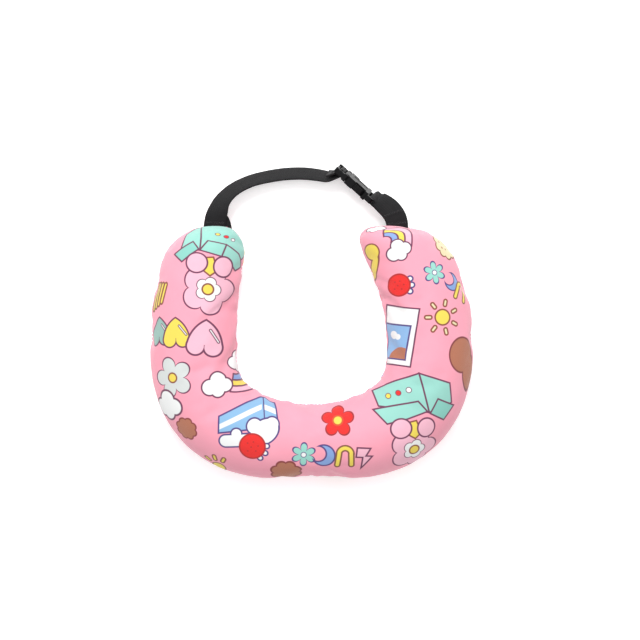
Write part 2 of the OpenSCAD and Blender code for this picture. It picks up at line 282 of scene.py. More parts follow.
def half_width(s):
    place = mid_point(s)
    up = (np.maximum(0, place[..., 1] - WIDE_Y) / (TIP_Y - WIDE_Y)) ** 2
    down = ease((WIDE_Y - place[..., 1]) / MID_B)
    bend = np.sin(2 * np.pi * np.clip((s - ARM) / TURN, 0, 1)) ** 2
    tip = np.where(place[..., 0] < 0, LEFT_TIP_HALF_W, RIGHT_TIP_HALF_W)
    return (ARM_HALF_W + (tip - ARM_HALF_W) * up + (BASE_HALF_W - ARM_HALF_W) * down
            + BEND_EXTRA_W * bend)


def crown_height(s):
    return CROWN_H * (0.45 + 0.55 * half_width(s) / ARM_HALF_W)


def skin(s, angle, inset=0.0, size=1.0):
    """Point of the stuffed surface at station s, angle from the outer seam over the crown, in radians."""
    s, angle = np.broadcast_arrays(np.asarray(s, float), np.asarray(angle, float))
    share = tip_share(s) * size
    w = (half_width(s) - inset) * share
    slim = 0.45 + 0.55 * half_width(s) / ARM_HALF_W
    h = (np.where(np.sin(angle) >= 0, CROWN_H * slim, (SEAM_Z + SAG) * slim) - inset) * share
    place = mid_point(s)
    back = inset * ease(into_tip(s))
    plan = place - np.stack([np.zeros_like(back), back], -1) + across(s) * (w * np.cos(angle))[..., None]
    z = np.maximum(inset, SEAM_Z + h * np.sin(angle))
    return np.concatenate([plan, z[..., None]], -1)


# ---- The flat panel that the print lies on, in millimetres ----

INNER_EASE = 0.0035           # how much the print is gathered toward the inner seam


def panel_offset(arc):
    """Place across the flat panel of a point that lies arc from the crown, minus on the inner side."""
    return np.where(arc < 0, arc * (1 + INNER_EASE * arc), arc)


def quarter_arc(w, h, cos_from_crown):
    """Length over a quarter ellipse from the crown to where the plan offset is w times the cosine."""
    steps = np.linspace(0, 1, 25)
    angle = np.pi / 2 + (np.arccos(cos_from_crown)[..., None] - np.pi / 2) * steps
    x, z = w[..., None] * np.cos(angle), h[..., None] * np.sin(angle)
    return np.hypot(np.diff(x), np.diff(z)).sum(-1)


def panel_place(s, cos_angle):
    """Flat panel place of a surface point given by station and cosine of its angle."""
    s, cos_angle = np.broadcast_arrays(np.asarray(s, float), np.asarray(cos_angle, float))
    share = tip_share(s)
    arc = quarter_arc(half_width(s) * share, crown_height(s) * share, np.abs(cos_angle))
    offset = panel_offset(arc * np.sign(cos_angle))
    drop = crown_height(s) * (1 - share)
    end = np.where(s < LAST / 2, -1.0, 1.0)
    return mid_point(s) + across(s) * offset[..., None] + along(s) * (end * drop)[..., None]


def panel_from_plan(x, y):
    """Flat panel place of the surface point that lies over the plan point x, y."""
    stations = np.linspace(0.6, LAST - 0.6, 1200)
    centre = mid_point(stations)
    sideways = across(stations)
    rel = np.array([x, y]) - centre
    off = (rel * sideways).sum(-1)
    miss = np.linalg.norm(rel - sideways * off[:, None], axis=-1) + 0.3 * np.abs(off)
    best = int(np.argmin(miss))
    s = stations[best]
    reach = half_width(s) * tip_share(s)
    return panel_place(s, np.clip(off[best] / reach, -0.98, 0.98))


# ---- Print: flat shapes drawn one over the other ----

LINE = 1.5                    # width of a drawn outline
SOFT = 0.45                   # width of a printed edge
LIGHT = 1.65                  # the dyes are this much darker than they look under the lights


def dye(colour):
    """Linear colour of a printed dye that looks like the sRGB colour under the lights."""
    return (*(c / LIGHT for c in linear(colour)[:3]), 1)


INK = dye((118, 58, 92))
BROWN_INK = dye((150, 84, 62))
BLUE_INK = dye((88, 72, 138))
BASE_PINK = dye((274, 185, 205))
SHADE_PINK = dye((270, 172, 193))
PALE_PINK = dye((268, 204, 224))
MINT = dye((164, 232, 218))
DEEP_MINT = dye((146, 222, 208))
TEAL = dye((158, 200, 190))
YELLOW = dye((262, 236, 92))
CREAM = dye((253, 240, 190))
WHITE = dye((264, 266, 265))
CAKE_BLUE = dye((150, 202, 244))
SKY = dye((150, 198, 246))
BAND_BLUE = dye((142, 178, 236))
RED = dye((254, 30, 20))
DARK_RED = dye((196, 30, 26))
BROWN = dye((198, 124, 92))
GREY_WHITE = dye((232, 238, 236))


class Art(Paint):
    """Draws shapes on the flat panel. A distance is in millimetres, and below 0 inside its shape."""

    def __init__(self, name):
        super().__init__(name)
        self.panel = self.p = self.vector("MULTIPLY", self.uv("print"), (1000, 1000, 0))
        self.colour = self.mix(self.noise(self.panel, 0.035, 3), BASE_PINK, SHADE_PINK)

    def move_to(self, centre, angle=0.0, size=1.0):
        """Sets the place, turn and size of what is drawn next."""
        self.p = self.vector("SUBTRACT", self.panel, (centre[0], centre[1], 0))
        if angle:
            self.p = self.turned(self.p, -math.radians(angle))
        if size != 1.0:
            self.p = self.vector("MULTIPLY", self.p, (1 / size, 1 / size, 1))

    def disc(self, x, y, r):
        return self.math("SUBTRACT", self.vector("DISTANCE", self.p, (x, y, 0)), r)

    def oval(self, x, y, rx, ry, angle=0.0):
        p = self.vector("SUBTRACT", self.p, (x, y, 0))
        if angle:
            p = self.turned(p, -math.radians(angle))
        p = self.vector("MULTIPLY", p, (1 / rx, 1 / ry, 1))
        least = min(rx, ry)
        return self.scaled(self.vector("LENGTH", p), least, -least)

    def polygon(self, *points):
        """Convex polygon, its corners in either direction."""
        centre = np.mean(points, axis=0)
        distance = None
        for a, b in zip(points, points[1:] + points[:1]):
            normal = unit(np.array([b[1] - a[1], a[0] - b[0]], float))
            if normal @ (centre - np.array(a)) > 0:
                normal = -normal
            edge = self.vector("DOT_PRODUCT", self.p, (normal[0], normal[1], 0))
            edge = self.math("SUBTRACT", edge, float(normal @ np.array(a)))
            distance = edge if distance is None else self.math("MAXIMUM", distance, edge)
        return distance

    def bar(self, x0, y0, x1, y1, r):
        """Straight bar with round ends."""
        centre = ((x0 + x1) / 2, (y0 + y1) / 2)
        half = math.hypot(x1 - x0, y1 - y0) / 2
        p = self.vector("SUBTRACT", self.p, (*centre, 0))
        p = self.turned(p, -math.atan2(y1 - y0, x1 - x0))
        p = self.vector("SUBTRACT", self.vector("ABSOLUTE", p), (half, 0, 0))
        p = self.vector("MAXIMUM", p, (0, -1e6, -1e6))
        return self.math("SUBTRACT", self.vector("LENGTH", p), r)

    def petals(self, x, y, r, depth, count, turn=0.0):
        """Ring of round lobes, r out to the notches and depth more at the lobes."""
        px, py, _ = self.split(self.vector("SUBTRACT", self.p, (x, y, 0)))
        wave = self.scaled(self.math("ARCTAN2", py, px), count / 2, math.radians(turn))
        wave = self.math("POWER", self.math("ABSOLUTE", self.math("SINE", wave)), 0.7)
        out = self.vector("DISTANCE", self.p, (x, y, 0))
        return self.math("SUBTRACT", self.scaled(wave, -depth, out), r)

    def ring(self, x, y, r, half):
        return self.math("SUBTRACT", self.math("ABSOLUTE", self.disc(x, y, r)), half)

    def join(self, *shapes):
        whole = shapes[0]
        for shape in shapes[1:]:
            whole = self.math("MINIMUM", whole, shape)
        return whole

    def cut(self, shape, tool):
        return self.math("MAXIMUM", shape, self.scaled(tool, -1.0))

    def inside(self, shape, frame_shape):
        return self.math("MAXIMUM", shape, frame_shape)

    def fill(self, shape, colour, grow=0.0):
        """Colours the shape, grown by grow."""
        share = self.math("MULTIPLY_ADD", shape, -1 / SOFT, 0.5 + grow / SOFT, clamp=True)
        self.colour = self.mix(share, self.colour, colour)

    def draw(self, shape, colour, ink=INK, line=LINE):
        """Outline, then colour."""
        self.fill(shape, ink, line / 2)
        self.fill(shape, colour, -line / 2)


def ray(degrees, r, x=0, y=0):
    """Point r away from x, y in a direction."""
    a = math.radians(degrees)
    return x + r * math.cos(a), y + r * math.sin(a)


def gift_box(art):
    """Open box seen from a corner, drawn upside down, its flaps hanging below it."""
    art.draw(art.polygon((-37, 11), (5, 26), (14, -9), (-31, -4)), MINT)
    art.draw(art.polygon((5, 26), (33, 17), (36, -1), (14, -9)), MINT)
    art.draw(art.polygon((-36, -7), (4, 1), (14, -10), (-6, -15), (-22, -21)), MINT)
    art.draw(art.polygon((22, 3), (39, -4), (29, -17), (15, -10)), DEEP_MINT)
    for x, colour in ((-22, YELLOW), (-13, RED), (-4, WHITE)):
        art.draw(art.disc(x, 5 + 0.32 * x + 7, 2.3), colour, line=0.7)


def gift_box_at_tip(art):
    """The same box where it wraps over the pillow's end, its bottom out of sight."""
    art.draw(art.polygon((-26, -1), (-25, 12), (-18, 20), (-12, 46), (3, 50), (-4, -1)), MINT)
    art.draw(art.polygon((3, 50), (32, 44), (44, 10), (40, -6), (34, -10), (-4, -1)), MINT)
    flap = art.join(art.polygon((-4, -1), (4, 10.5), (20, 6), (15, -7)),
                    art.polygon((20, 6), (31, -4), (37, -17), (29, -20), (15, -7)))
    art.draw(flap, MINT)
    art.draw(art.polygon((-30, -5), (-10, 9), (-5, 0), (-21, -12)), DEEP_MINT)
    for x, colour in ((14, YELLOW), (21, RED), (28, WHITE)):
        art.draw(art.disc(x, 24 - 0.55 * (x - 8), 2.2), colour, line=0.8)


def balloon_bunch(art):
    """Two round balloons over a big pale flower."""
    art.draw(art.petals(0, -9, 17, 6.5, 5, turn=90), PALE_PINK)
    art.draw(art.petals(0, -9, 8, 3, 5, turn=90), WHITE, line=0.9)
    art.draw(art.disc(0, -9, 4.8), YELLOW, BROWN_INK)
    art.draw(art.polygon((-4, 19), (3, 20), (7, 8), (1, 3), (-6, 8)), YELLOW, BROWN_INK)
    art.draw(art.oval(-11.5, 14, 9.6, 9), PALE_PINK)
    art.draw(art.oval(12, 12, 8.4, 9.2), PALE_PINK)


def heart(art, colour):
    """Heart with its point up and a light line along its right shoulder."""
    p = art.p
    px, py, _ = art.split(p)
    art.p = art.joined(art.math("ABSOLUTE", px), py)
    below = art.scaled(py, -1.0, -4.5)
    shape = art.join(art.disc(6.4, -5.0, 6.9), art.inside(art.disc(-12, -7, 25.2), below))
    art.p = p
    art.draw(shape, colour)
    art.draw(art.bar(3.4, 7.6, 9.9, -0.6, 0.8), WHITE, line=0.8)


def cloud(art):
    art.draw(art.join(art.disc(-6, -2.5, 7.2), art.disc(0.5, 4.5, 7), art.disc(7, -0.5, 6.4),
                      art.disc(1, -5.5, 6)), WHITE)


def rainbow(art, radii, start, end):
    """Quarter rainbow between two directions, its bands from the middle outward."""
    far = radii[-1] * 1.6
    wedge = art.polygon((0, 0), ray(start, far), ray((start + end) / 2, far * 1.4), ray(end, far))
    for inner, outer, colour in zip(radii, radii[1:], (BAND_BLUE, YELLOW, PALE_PINK)):
        band = art.ring(0, 0, (inner + outer) / 2, (outer - inner) / 2)
        art.draw(art.inside(band, wedge), colour)


def cake_slice(art):
    """Striped slice lying on its icing, with a strawberry."""
    side = art.polygon((-26, -8), (-25.5, 7), (11, 24.5), (15, 25), (24, 21), (26.5, 4), (10, -4))
    art.draw(side, CAKE_BLUE, BLUE_INK)
    stripe = art.join(art.polygon((-27, 0), (13, 18.5), (13, 12), (-27, -6.5)),
                      art.polygon((13, 18.5), (28, 12.5), (28, 6), (13, 12)))
    art.fill(art.inside(stripe, side), WHITE, -0.8)
    art.fill(art.bar(13.5, 24, 15, 2, 0.55), BLUE_INK)
    icing = art.join(art.bar(-19.8, -15.2, 8, -13.5, 5.8), art.oval(15, -7, 14, 10.5, 35),
                     art.disc(-10, -8.6, 5), art.disc(6, -2, 7), art.disc(21.5, -0.5, 6.5))
    art.draw(icing, WHITE, BLUE_INK)
    strawberry_at(art, 4.2, -20, 11.4, -28)


def strawberry_at(art, x, y, r, leaf_turn):
    """Round strawberry with three white leaves on its right side."""
    for angle in (-30, 0, 30):
        a = angle + leaf_turn
        art.draw(art.bar(*ray(a, r * 0.5, x, y), *ray(a, r + 1.6, x, y), 2.3), WHITE, BLUE_INK)
    art.draw(art.disc(x, y, r), RED, DARK_RED)
    for sx, sy in ((-4, 3), (1, 4), (5, 0.5), (-1, -0.5), (3, -4), (-4, -4)):
        art.fill(art.disc(x + sx * r / 11, y + sy * r / 11, 0.7), DARK_RED)


def strawberry(art):
    strawberry_at(art, 0, 0, 9.6, 0)


def red_flower(art):
    art.draw(art.petals(0, 0, 8.2, 6.4, 5, turn=45), RED, dye((168, 40, 44)))
    art.draw(art.disc(0, 0, 4.3), YELLOW, dye((226, 90, 40)))


def sun(art):
    art.draw(art.disc(0, 0, 6.9), YELLOW, BROWN_INK)
    for k in range(7):
        a = 360 * k / 7 + 78
        art.draw(art.bar(*ray(a, 11.4), *ray(a, 14.6), 1.6), CREAM, BROWN_INK)


def half_sun(art):
    art.draw(art.disc(0, -10, 7), YELLOW, BROWN_INK)
    for angle in (60, 95, 130):
        art.draw(art.bar(*ray(angle, 12, 0, -10), *ray(angle, 16, 0, -10), 1.8), YELLOW, BROWN_INK)


def cookie(art):
    art.draw(art.petals(0, 0, 9.2, 1.8, 8), BROWN, dye((150, 62, 58)))


def picture_card(art):
    """White card that holds a plain picture: sky, a cloud and a hill."""
    art.draw(art.polygon((-18, 27), (13, 25), (7, -27), (-18, -25)), WHITE)
    window = art.polygon((-18, 11), (6, 9.5), (2, -21), (-18, -20))
    art.draw(window, SKY, BLUE_INK)
    art.fill(art.inside(art.join(art.disc(-9, 1, 4.2), art.disc(-5, -0.5, 3.2)), window), WHITE, -0.6)
    art.fill(art.inside(art.disc(-2, -21, 12), window), BROWN, -0.6)


def star(art, colour, size):
    art.draw(art.petals(0, 0, size * 0.36, size * 0.56, 6, turn=0), colour, BLUE_INK)
    art.draw(art.disc(0, 0, size * 0.2), WHITE, BLUE_INK, 0.7)


def moon(art):
    art.draw(art.cut(art.disc(0, 0, 10), art.disc(-5.2, 1.5, 7.4)), BAND_BLUE, BLUE_INK)


def arch(art):
    """Small arch, open below."""
    legs = art.join(art.bar(-6.4, -8.5, -5.4, 3, 2.3), art.bar(6.4, -8.5, 5.4, 3, 2.3))
    top = art.inside(art.ring(0, 2.5, 5.6, 2.3), art.polygon((-12, 3), (12, 3), (12, 14), (-12, 14)))
    art.draw(art.join(legs, top), YELLOW, dye((140, 92, 60)))


def bolt(art):
    """Pale zigzag."""
    art.draw(art.join(art.polygon((-6.5, 9), (5.5, 9), (1, 0), (-7, 0)),
                      art.polygon((-1, 1.5), (7.5, 1.5), (-1.5, -12))), PALE_PINK)


def charms(art):
    """Row of four small charms."""
    start = art.p
    for x, drawing in ((-26, lambda: star(art, MINT, 12)), (-8, lambda: moon(art)),
                       (11, lambda: arch(art)), (28, lambda: bolt(art))):
        art.p = art.vector("SUBTRACT", start, (x, 0, 0))
        drawing()


def stripes(art):
    """Yellow stripes with brown outlines."""
    for k in range(4):
        art.draw(art.bar(-7 + 3.7 * k, -9 + k, 1 + 3.2 * k, 9 - k, 1.5), YELLOW, BROWN_INK)


def daisy(art):
    art.draw(art.petals(0, 0, 11, 9, 5, turn=20), GREY_WHITE)
    art.draw(art.disc(0, 0, 4.5), YELLOW, BROWN_INK)


def hill(art):
    art.draw(art.join(art.oval(0, 2, 14, 16), art.oval(9, -15, 9, 18)), BROWN, dye((140, 62, 62)))


def drop(art):
    art.draw(art.join(art.disc(-3, 9, 8.4), art.oval(3, -6, 4.6, 16)), YELLOW, BROWN_INK)


def biscuit(art):
    art.draw(art.petals(0, 0, 12, 2.2, 10), CREAM, BROWN_INK)
    for x, y in ((-5, 2), (-1, -5), (-6, -4), (0, 4)):
        art.fill(art.disc(x, y, 1.0), BROWN)


# Motif, its place over the plan in millimetres, its turn in degrees, its size and its reach
MOTIFS = [
    (gift_box_at_tip, (-96, 63), 0, 1, 45),
    (balloon_bunch, (-92, 36), -4, 1, 36),
    (stripes, (-138, 21), 12, 1.2, 17),
    (lambda art: heart(art, TEAL), (-136, -12), 4, 0.95, 17),
    (lambda art: heart(art, YELLOW), (-121, -13), 2, 0.98, 17),
    (lambda art: heart(art, PALE_PINK), (-95, -18), -6, 1.18, 20),
    (daisy, (-124, -52), 10, 0.95, 22),
    (cloud, (-129, -77), 0, 1.25, 20),
    (cookie, (-112, -98), 0, 1, 13),
    (lambda art: rainbow(art, (11, 16.5, 22, 27.5), -100, -12), (-70, -38), 0, 1, 30),
    (cloud, (-84, -58), 0, 1, 16),
    (cloud, (-62, -37), 0, 0.8, 14),
    (cake_slice, (-57, -93), 0, 1, 38),
    (red_flower, (23.5, -90), 0, 1, 16),
    (charms, (19, -122), -3, 1, 46),
    (picture_card, (82, -15), -2, 1, 36),
    (strawberry, (78, 31), 0, 1, 16),
    (drop, (55, 52), -18, 0.9, 20),
    (lambda art: rainbow(art, (5.5, 11.5, 17.5, 24), -12, 110), (66, 70), 0, 1, 26),
    (cloud, (78, 62), 20, 0.86, 14),
    (cloud, (58, 82), 0, 0.7, 12),
    (biscuit, (119, 68), 0, 1, 16),
    (lambda art: star(art, MINT, 11), (110, 42), 10, 1, 12),
    (moon, (126, 34), -20, 0.82, 12),
    (arch, (134, 25), -20, 0.9, 14),
    (sun, (117, 2), 0, 1, 22),
    (hill, (135, -34), 4, 1, 36),
    (gift_box, (91, -74), 0, 1, 44),
    (balloon_bunch, (92, -109), 6, 0.98, 36),
    (half_sun, (-85, -127), 0, 1, 20),
    (cookie, (-23, -137), 0, 1.3, 17),
]
ZONES = 6                     # stretches of the tube that each have their own print material


def fabric_height(paint, place):
    """Fine knit: rows of small stitches, 0.9 mm across."""
    x, y, _ = paint.split(place)
    wale = paint.wave(x, 0.9)
    course = paint.math("SINE", paint.scaled(y, 2 * math.pi / 0.7, paint.scaled(wale, 1.2)))
    return paint.scaled(course, 0.5, paint.scaled(wale, 0.5))


def print_material(name, motifs):
    """Printed plush fabric that holds these motifs."""
    art = Art(name)
    for drawing, centre, angle, size, _ in motifs:
        art.move_to(panel_from_plan(*centre), angle, size)
        drawing(art)
    fade = art.scaled(art.noise(art.panel, 1.6, 2), 0.1, -0.02)
    colour = art.mix(fade, art.colour, dye((255, 226, 234)))
    folds = art.bump(art.noise(art.panel, 0.05, 2), 0.0022, 0.35)
    normal = art.bump(fabric_height(art, art.panel), 0.00012, 0.55, folds)
    art.shade(colour, 0.78, normal, Sheen_Weight=0.22, Sheen_Roughness=0.45, Specular_IOR_Level=0.25)
    return art.material


# ---- Mesh helpers ----

def new_piece(name, points, faces, materials, smooth=True):
    """Object from points in metres."""
    mesh = bpy.data.meshes.new(name)
    mesh.from_pydata([tuple(p) for p in points], [], faces)
    mesh.validate()
    for material in materials:
        mesh.materials.append(material)
    mesh.polygons.foreach_set("use_smooth", [smooth] * len(mesh.polygons))
    piece = bpy.data.objects.new(name, mesh)
    link(piece)
    return piece


def tube_quads(rings, n):
    """Side faces between rings of n points."""
    return [(i * n + k, i * n + (k + 1) % n, (i + 1) * n + (k + 1) % n, (i + 1) * n + k)
            for i in range(rings - 1) for k in range(n)]


def capped_tube(rings, n):
    last = (rings - 1) * n
    return tube_quads(rings, n) + [tuple(range(n))[::-1], tuple(range(last, last + n))]


def outward(mesh):
    bm = bmesh.new()
    bm.from_mesh(mesh)
    bmesh.ops.recalc_face_normals(bm, faces=bm.faces)
    bm.to_mesh(mesh)
    bm.free()


def map_points(mesh, name, uv):
    """UV map from one place for each point."""
    corners = [loop.vertex_index for loop in mesh.loops]
    mesh.uv_layers.new(name=name).data.foreach_set("uv", np.array(uv)[corners].ravel())


def apply_modifiers(piece):
    """Bakes the piece's modifiers into its mesh."""
    graph = bpy.context.evaluated_depsgraph_get()
    mesh = bpy.data.meshes.new_from_object(piece.evaluated_get(graph))
    piece.modifiers.clear()
    old = piece.data
    piece.data = mesh
    bpy.data.meshes.remove(old)


# ---- Stuffed cover: cloth simulation on a closed grid ----

HALF_POINTS = 28              # points over half of the tube's girth
GIRTH = 2 * HALF_POINTS
STATIONS = np.concatenate([np.linspace(0, ARM, 41)[:-1], np.linspace(ARM, ARM + TURN, 85)[:-1],
                           np.linspace(ARM + TURN, LAST, 41)])
START_SIZE = 0.96             # the cloth starts this much slimmer, because it swells
EXCESS = -0.05                # the panels' cloth is this much longer than their pinned seam
CAP = 7.0                     # furthest that a point may move
CLOTH = {"quality": 6, "mass": 0.25, "tension_stiffness": 18, "compression_stiffness": 18,
         "shear_stiffness": 6, "bending_stiffness": 0.6, "use_pressure": True,
         "uniform_pressure_force": 4, "shrink_min": EXCESS}


def core_line():
    """Middle of the tube at seam height, for every ring."""
    return np.concatenate([mid_point(STATIONS), np.full((len(STATIONS), 1), float(SEAM_Z))], -1)[:, None, :]


def grid_angles():
    return np.linspace(0, 2 * np.pi, GIRTH, endpoint=False)


def skin_grid(inset=0.0, size=1.0):
    return skin(STATIONS[:, None], grid_angles()[None, :], inset, size)


def grid_faces(rings, n):
    """Quads of a closed tube and a fan at each end, whose middle points come after the rings."""
    faces = tube_quads(rings, n)
    first, last = rings * n, rings * n + 1
    for k in range(n):
        m = (k + 1) % n
        faces.append((first, m, k))
        faces.append((last, (rings - 1) * n + k, (rings - 1) * n + m))
    return faces


def end_centres(grid):
    return np.array([(ring[0] + ring[HALF_POINTS]) / 2 for ring in (grid[0], grid[-1])])


def grid_points(grid, columns=slice(None)):
    """The grid's points in metres, its two end centres last."""
    return np.concatenate([grid[:, columns].reshape(-1, 3), end_centres(grid)]) * MM


def settled_by_cloth(grid):
    """The grid after a short cloth simulation, swollen against its pinned seam."""
    points = grid_points(grid)
    body = new_piece("cloth_source", points, grid_faces(len(grid), GIRTH), [])
    outward(body.data)
    group = body.vertex_groups.new(name="seam")
    seam = [i * GIRTH + k for i in range(len(grid)) for k in (0, HALF_POINTS)]
    ends = [len(points) - 1, len(points) - 2] + list(range(GIRTH))
    ends += [(len(grid) - 1) * GIRTH + k for k in range(GIRTH)]
    group.add(seam + ends, 1.0, "REPLACE")
    cloth = body.modifiers.new("cloth", "CLOTH")
    settings = cloth.settings
    for name, value in CLOTH.items():
        setattr(settings, name, value)
    settings.vertex_group_mass = "seam"
    settings.effector_weights.gravity = 0
    scene = bpy.context.scene
    cloth.point_cache.frame_start = 1
    cloth.point_cache.frame_end = 20
    for step in range(1, 21):
        scene.frame_set(step)
    graph = bpy.context.evaluated_depsgraph_get()
    mesh = body.evaluated_get(graph).to_mesh()
    moved = np.empty(len(mesh.vertices) * 3)
    mesh.vertices.foreach_get("co", moved)
    body.evaluated_get(graph).to_mesh_clear()
    bpy.data.objects.remove(body)
    scene.frame_set(1)
    return moved.reshape(-1, 3)[:grid.size // 3].reshape(grid.shape) / MM


def rolling_mean(values, reach):
    """Mean over the neighbouring rings, held at the ends."""
    padded = np.pad(values, [(reach, reach)] + [(0, 0)] * (values.ndim - 1), mode="edge")
    return sum(padded[k:k + len(values)] for k in range(2 * reach + 1)) / (2 * reach + 1)


def relaxed_skin():
    """Cover's surface: the CAD skin with the folds that the cloth simulation gives it."""
    base = skin_grid()
    start = skin_grid(size=START_SIZE)
    shift = settled_by_cloth(start) - start
    # the swelling that a whole stretch shares is already in the CAD skin
    shift -= rolling_mean(shift, 6) * 0.85
    length = np.linalg.norm(shift, axis=-1, keepdims=True)
    shift *= np.minimum(1, CAP / np.maximum(length, 1e-6))
    shift *= tip_share(STATIONS)[:, None, None]
    return base + shift


SEAM_DEPTH = 1.7              # how far the seam is drawn in
SEAM_REACH = 4.5              # distance from the seam over which the cover rolls into it
PUCKER = 0.35                 # height of the gathers beside the seam


def seam_distance():
    """Distance over the skin from each grid point to the nearer seam line."""
    grid = skin_grid()
    step = np.linalg.norm(np.roll(grid, -1, 1) - grid, axis=-1)
    run = np.concatenate([np.zeros((len(grid), 1)), np.cumsum(step, 1)], 1)
    total = run[:, -1:]
    here, half = run[:, :-1], run[:, HALF_POINTS:HALF_POINTS + 1]
    return np.minimum(np.minimum(here, np.abs(here - half)), total - here)


def gathers(rings):
    """Irregular wave along the tube, about a centimetre from fold to fold."""
    run = path_length(mid_point(STATIONS))
    waves = [(length, RNG.random()) for length in (9.5, 13.5, 23.0)]
    return sum(np.sin(2 * np.pi * (run / length + phase)) for length, phase in waves)[:rings] / 2


def sewn_skin():
    """Cover's surface with its seam drawn in and small gathers beside it, in millimetres."""
    grid = relaxed_skin()
    inward = unit(core_line() - grid)
    near = seam_distance()
    groove = SEAM_DEPTH * np.exp(-(near / SEAM_REACH) ** 2)
    ripple = PUCKER * gathers(len(grid))[:, None] * np.exp(-((near - 7) / 6) ** 2)
    side = np.where(np.cos(grid_angles()) < 0, 1.5, 0.7)[None, :]
    moved = grid + inward * ((groove + ripple * side) * tip_share(STATIONS)[:, None])[..., None]
    moved[..., 2] = np.maximum(moved[..., 2], 0.05)
    return moved


# ---- Cover panels ----

PANEL_T = 1.1                 # the cover fabric with its lining


def panel_columns(top):
    """Grid columns of a panel from the outer seam to the inner one."""
    return list(range(HALF_POINTS + 1)) if top else [0] + list(range(GIRTH - 1, HALF_POINTS - 1, -1))


def panel_uv(top):
    """Print place of every panel point. The underside has the same print, seen from below."""
    cos = np.cos(np.linspace(0, np.pi, HALF_POINTS + 1))
    place = panel_place(STATIONS[:, None], cos[None, :])
    ends = panel_place(np.array([0.0, float(LAST)]), np.zeros(2))
    if not top:
        mirror = np.array([-1, 1])
        place, ends = place * mirror, ends * mirror
    return place, ends


def print_zones():
    """A print material for each zone, with the motifs that reach into it on either panel."""
    ring_zone = np.minimum(ZONES - 1, (STATIONS / LAST * ZONES).astype(int))
    materials = []
    top, bottom = panel_uv(True)[0], panel_uv(False)[0]
    for zone in range(ZONES):
        here = np.concatenate([top[ring_zone == zone].reshape(-1, 2),
                               bottom[ring_zone == ZONES - 1 - zone].reshape(-1, 2)])
        found = []
        for motif in MOTIFS:
            gap = np.linalg.norm(here - panel_from_plan(*motif[1]), axis=-1).min()
            if gap < motif[4] * motif[3] + 6:
                found.append(motif)
        materials.append(print_material(f"printed_fabric_{zone + 1}", found))
    return materials, ring_zone


def make_panel(name, node, top, grid, materials, ring_zone):
    columns = panel_columns(top)
    n = len(columns)
    rings = len(grid)
    place, ends = panel_uv(top)
    uv = np.concatenate([place.reshape(-1, 2), ends]) * MM
    faces, zones = [], []
    for i in range(rings - 1):
        zone = ring_zone[i] if top else ZONES - 1 - ring_zone[i]
        for k in range(n - 1):
            faces.append((i * n + k, i * n + k + 1, (i + 1) * n + k + 1, (i + 1) * n + k))
            zones.append(zone)
    for k in range(n - 1):
        faces.append((rings * n, k + 1, k))
        faces.append((rings * n + 1, (rings - 1) * n + k, (rings - 1) * n + k + 1))
        zones += [0, ZONES - 1] if top else [ZONES - 1, 0]
    if top:
        faces = [face[::-1] for face in faces]
    piece = new_piece(name, grid_points(grid, columns), faces, materials)
    piece.data.polygons.foreach_set("material_index", zones)
    map_points(piece.data, "print", uv)
    piece.modifiers.new("smooth", "SUBSURF").levels = 1
    thick = piece.modifiers.new("thick", "SOLIDIFY")
    thick.thickness = PANEL_T * MM
    thick.offset = -1
    apply_modifiers(piece)
    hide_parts(node)
    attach(piece, "pillow")


def fibre_material():
    paint = Paint("fibre")
    place = paint.coordinates("Object")
    tufts = paint.noise(place, 90, 6, 0.7)
    # painted shade: the hollows between the tufts are coloured greyer, following the bump's own height
    colour = paint.mix(tufts, (0.78, 0.78, 0.76, 1), (0.93, 0.93, 0.92, 1))
    paint.shade(colour, 0.95, paint.bump(tufts, 0.002, 0.8), Sheen_Weight=0.3)
    return paint.material


def make_filling():
    """Lumpy polyester filling inside the cover."""
    inset, lump = 4.5, 0.9
    grid = skin_grid(inset)
    run = np.arange(len(grid))[:, None]
    turn = grid_angles()[None, :]
    bumps = np.sin(run * 0.31 + 3 * turn) * np.cos(run * 0.17 - 2 * turn)
    grid = grid + unit(grid - core_line()) * (lump * bumps * tip_share(STATIONS)[:, None])[..., None]
    grid[..., 2] = np.maximum(grid[..., 2], 2.0)
    piece = new_piece("filling", grid_points(grid), grid_faces(len(grid), GIRTH), [fibre_material()])
    outward(piece.data)
    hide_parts("fibre_fill")
    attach(piece, "pillow")


# ---- Threads ----

def path_length(points):
    return np.concatenate([[0], np.cumsum(np.linalg.norm(np.diff(points, axis=0), axis=-1))])


def on_path(points, runs, where):
    return np.stack([np.interp(where, runs, points[:, axis]) for axis in range(3)], -1)


def tube_between(points, radius, sides=6):
    """Points and faces of a round tube along a polyline, its ends closed and drawn in."""
    points = np.asarray(points, float)
    verts = []
    for i, p in enumerate(points):
        tangent = unit(points[min(len(points) - 1, i + 1)] - points[max(0, i - 1)])
        first = np.cross(tangent, (0.0, 0.0, 1.0))
        if np.linalg.norm(first) < 0.2:
            first = np.cross(tangent, (0.0, 1.0, 0.0))
        first = unit(first)
        second = np.cross(tangent, first)
        r = radius * (0.55 if i in (0, len(points) - 1) else 1.0)
        for k in range(sides):
            a = 2 * math.pi * k / sides
            verts.append(p + r * (first * math.cos(a) + second * math.sin(a)))
    return verts, capped_tube(len(points), sides)


def thread_piece(name, runs, radius, material):
    """One piece from many short thread runs, each a list of points in millimetres."""
    verts, faces = [], []
    for run in runs:
        v, f = tube_between(run, radius)
        faces += [tuple(i + len(verts) for i in face) for face in f]
        verts += v
    piece = new_piece(name, np.array(verts) * MM, faces, [material])
    outward(piece.data)
    return piece


def thread_material(name, colour):
    paint = Paint(name)
    place = paint.coordinates("Object")
    twist = paint.math("SINE", paint.scaled(paint.split(place)[0], 9000))
    fuzz = paint.noise(place, 900, 2)
    tone = paint.mix(fuzz, linear(colour), linear([min(255, c * 1.12) for c in colour]))
    paint.shade(tone, 0.6, paint.bump(twist, 0.0001, 0.6), Sheen_Weight=0.2)
    return paint.material


STITCH, STITCH_PITCH, THREAD_R = 2.6, 3.4, 0.28


